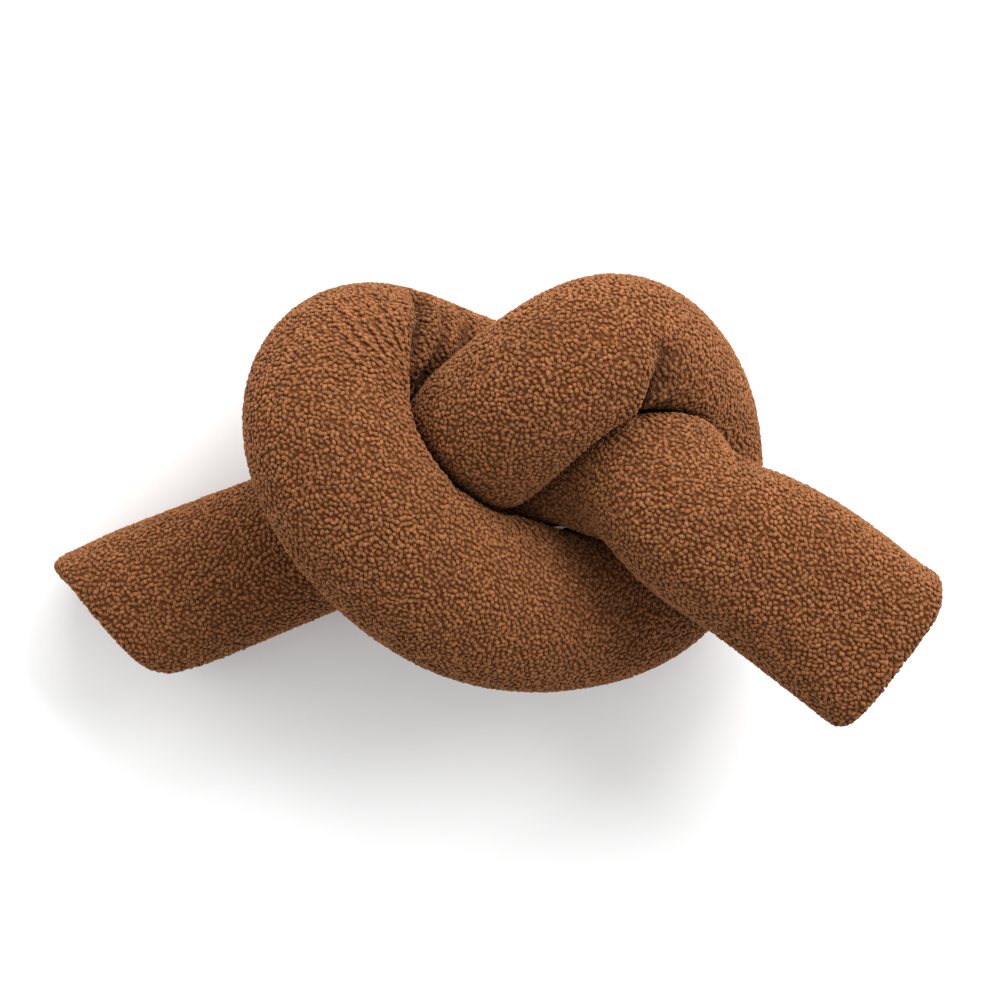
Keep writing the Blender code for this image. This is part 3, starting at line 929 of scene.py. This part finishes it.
class KNOT_OT_cushion(bpy.types.Operator):
    """Builds the stuffed tube's backing cloth"""
    bl_idname = "knot.cushion"
    bl_label = "Stuffed tube"

    def execute(self, context):
        shape = context.scene.knot_shape
        _, creased, _, pressed, _ = cushion_skin(shape.rings, shape.segments, shape.inset)
        ring_step, step = BACKING_STEPS
        grid, deep = (np.concatenate([part[:-1:ring_step, ::step], part[-1:, ::step]])
                      for part in (creased, np.clip(pressed / BARE_DEPTH, 0.0, 1.0)))
        triangles = closed_grid_triangles(*grid.shape[:2])
        mesh = mesh_from_triangles("stuffed_tube", with_tips(grid), triangles)
        # deep: how far each point is pressed in, which the material turns into painted shade
        add_point_value(mesh, "deep", np.append(deep.ravel(), [0.0, 0.0]))
        piece = add_object(mesh, skin_material(context.scene.knot_looks))
        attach(piece, BODY)
        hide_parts(NODE)
        return {"FINISHED"}


class KNOT_OT_pile(bpy.types.Operator):
    """Builds the curls of the pile, in one piece for each stretch of the tube"""
    bl_idname = "knot.pile"
    bl_label = "Curly pile"

    def execute(self, context):
        shape = context.scene.knot_shape
        rng = np.random.default_rng(shape.seed)
        plain, _, skin, pressed, strength = cushion_skin(
            shape.rings, shape.segments, shape.inset)
        spots = scatter(plain, (pressed < BARE_DEPTH).astype(float), CANDIDATES, rng)
        chosen = spread_out(read_grid(plain, spots), shape.spacing, rng)
        chosen = chosen[np.argsort(spots[0][chosen], kind="stable")]
        spots = [part[chosen] for part in spots]
        points = read_grid(skin, spots)
        directions = read_grid(grid_normals(skin), spots)
        directions /= np.linalg.norm(directions, axis=1)[:, None]
        across = read_grid(np.roll(skin, -1, axis=1) - np.roll(skin, 1, axis=1), spots)
        aligned = read_grid(strength, spots)
        # deep: how far each curl is pressed in, which the material turns into painted shade
        deep = np.clip(read_grid(pressed, spots) / BARE_DEPTH, 0.0, 1.0)
        material = pile_material(context.scene.knot_looks)
        parts = np.array_split(np.arange(len(points)), len(PILE_PIECES))
        for name, part in zip(PILE_PIECES, parts):
            curls, tip = curl_shapes(points[part], directions[part], across[part],
                                     aligned[part], shape, rng)
            curls[..., 2] = np.maximum(curls[..., 2], FLOOR_CLEARANCE)
            triangles = curl_triangles(len(part))
            mesh = mesh_from_triangles(name, curls.reshape(-1, 3), triangles)
            add_point_value(mesh, "tip", tip)
            for value, field in (("shade", rng.random(len(part))), ("deep", deep[part])):
                add_point_value(mesh, value, np.repeat(field, curls.shape[1]))
            piece = add_object(mesh, material)
            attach(piece, BODY)
            print(name, len(part), "curls", len(triangles), "triangles")
        return {"FINISHED"}


class KNOT_OT_studio(bpy.types.Operator):
    """Builds the floor, the soft lights and the camera"""
    bl_idname = "knot.studio"
    bl_label = "Studio"

    def execute(self, context):
        studio = context.scene.knot_studio
        scene = context.scene
        corners = np.array([[-1, -1, 0], [1, -1, 0], [1, 1, 0], [-1, 1, 0]]) * FLOOR_HALF
        mesh = mesh_from_triangles("floor", corners, np.array([[0, 1, 2], [0, 2, 3]]))
        add_object(mesh, floor_material(studio.floor_colour))
        for name, (place, size) in LIGHTS.items():
            soft_light(name, place, size, getattr(studio, name))
        world = bpy.data.worlds.new("surround")
        scene.world = world
        world.use_nodes = True
        sky = world.node_tree.nodes["Background"]
        sky.inputs["Color"].default_value = (1.0, 1.0, 1.0, 1.0)
        sky.inputs["Strength"].default_value = studio.sky
        lens = bpy.data.cameras.new("camera")
        camera = bpy.data.objects.new("camera", lens)
        scene.collection.objects.link(camera)
        camera.rotation_euler = (-studio.tilt, 0.0, 0.0)
        back = Vector((0.0, math.sin(studio.tilt), math.cos(studio.tilt)))
        camera.location = Vector(AIM) + back * studio.distance
        lens.sensor_width = 36.0
        lens.lens = lens.sensor_width * studio.distance / studio.frame_width
        scene.camera = camera
        scene.view_settings.view_transform = "Standard"
        return {"FINISHED"}


def soft_light(name, place, size, power):
    """A rectangular light that faces the middle of the cushion."""
    data = bpy.data.lights.new(name, "AREA")
    data.shape = "RECTANGLE"
    data.size, data.size_y = size
    data.energy = power
    lamp = bpy.data.objects.new(name, data)
    lamp.location = place
    lamp.rotation_mode = "QUATERNION"
    lamp.rotation_quaternion = (Vector(LIT) - Vector(place)).to_track_quat("-Z", "Y")
    bpy.context.scene.collection.objects.link(lamp)


class KNOT_PT_panel(bpy.types.Panel):
    """Lists the pieces and their settings"""
    bl_idname = "KNOT_PT_panel"
    bl_label = "Knot Cushion"
    bl_space_type = "VIEW_3D"
    bl_region_type = "UI"
    bl_category = "Knot Cushion"

    def draw(self, context):
        layout = self.layout
        for operator in OPERATORS:
            layout.operator(operator.bl_idname)
        for group in (context.scene.knot_shape, context.scene.knot_looks,
                      context.scene.knot_studio):
            box = layout.box()
            for name in group.__annotations__:
                box.prop(group, name)


SETTINGS = {"knot_shape": KnotShape, "knot_looks": KnotLooks, "knot_studio": KnotStudio}
OPERATORS = (KNOT_OT_cushion, KNOT_OT_pile, KNOT_OT_studio)


def register():
    """Adds the settings, the operators and the panel."""
    for kind in (*SETTINGS.values(), *OPERATORS, KNOT_PT_panel):
        bpy.utils.register_class(kind)
    for name, kind in SETTINGS.items():
        setattr(bpy.types.Scene, name, bpy.props.PointerProperty(type=kind))


def unregister():
    """Takes them out again."""
    for name in SETTINGS:
        delattr(bpy.types.Scene, name)
    for kind in reversed((*SETTINGS.values(), *OPERATORS, KNOT_PT_panel)):
        bpy.utils.unregister_class(kind)


def main():
    """Builds the pieces and the studio."""
    register()
    bpy.ops.knot.cushion()
    bpy.ops.knot.pile()
    bpy.ops.knot.studio()


if __name__ == "__main__":
    main()
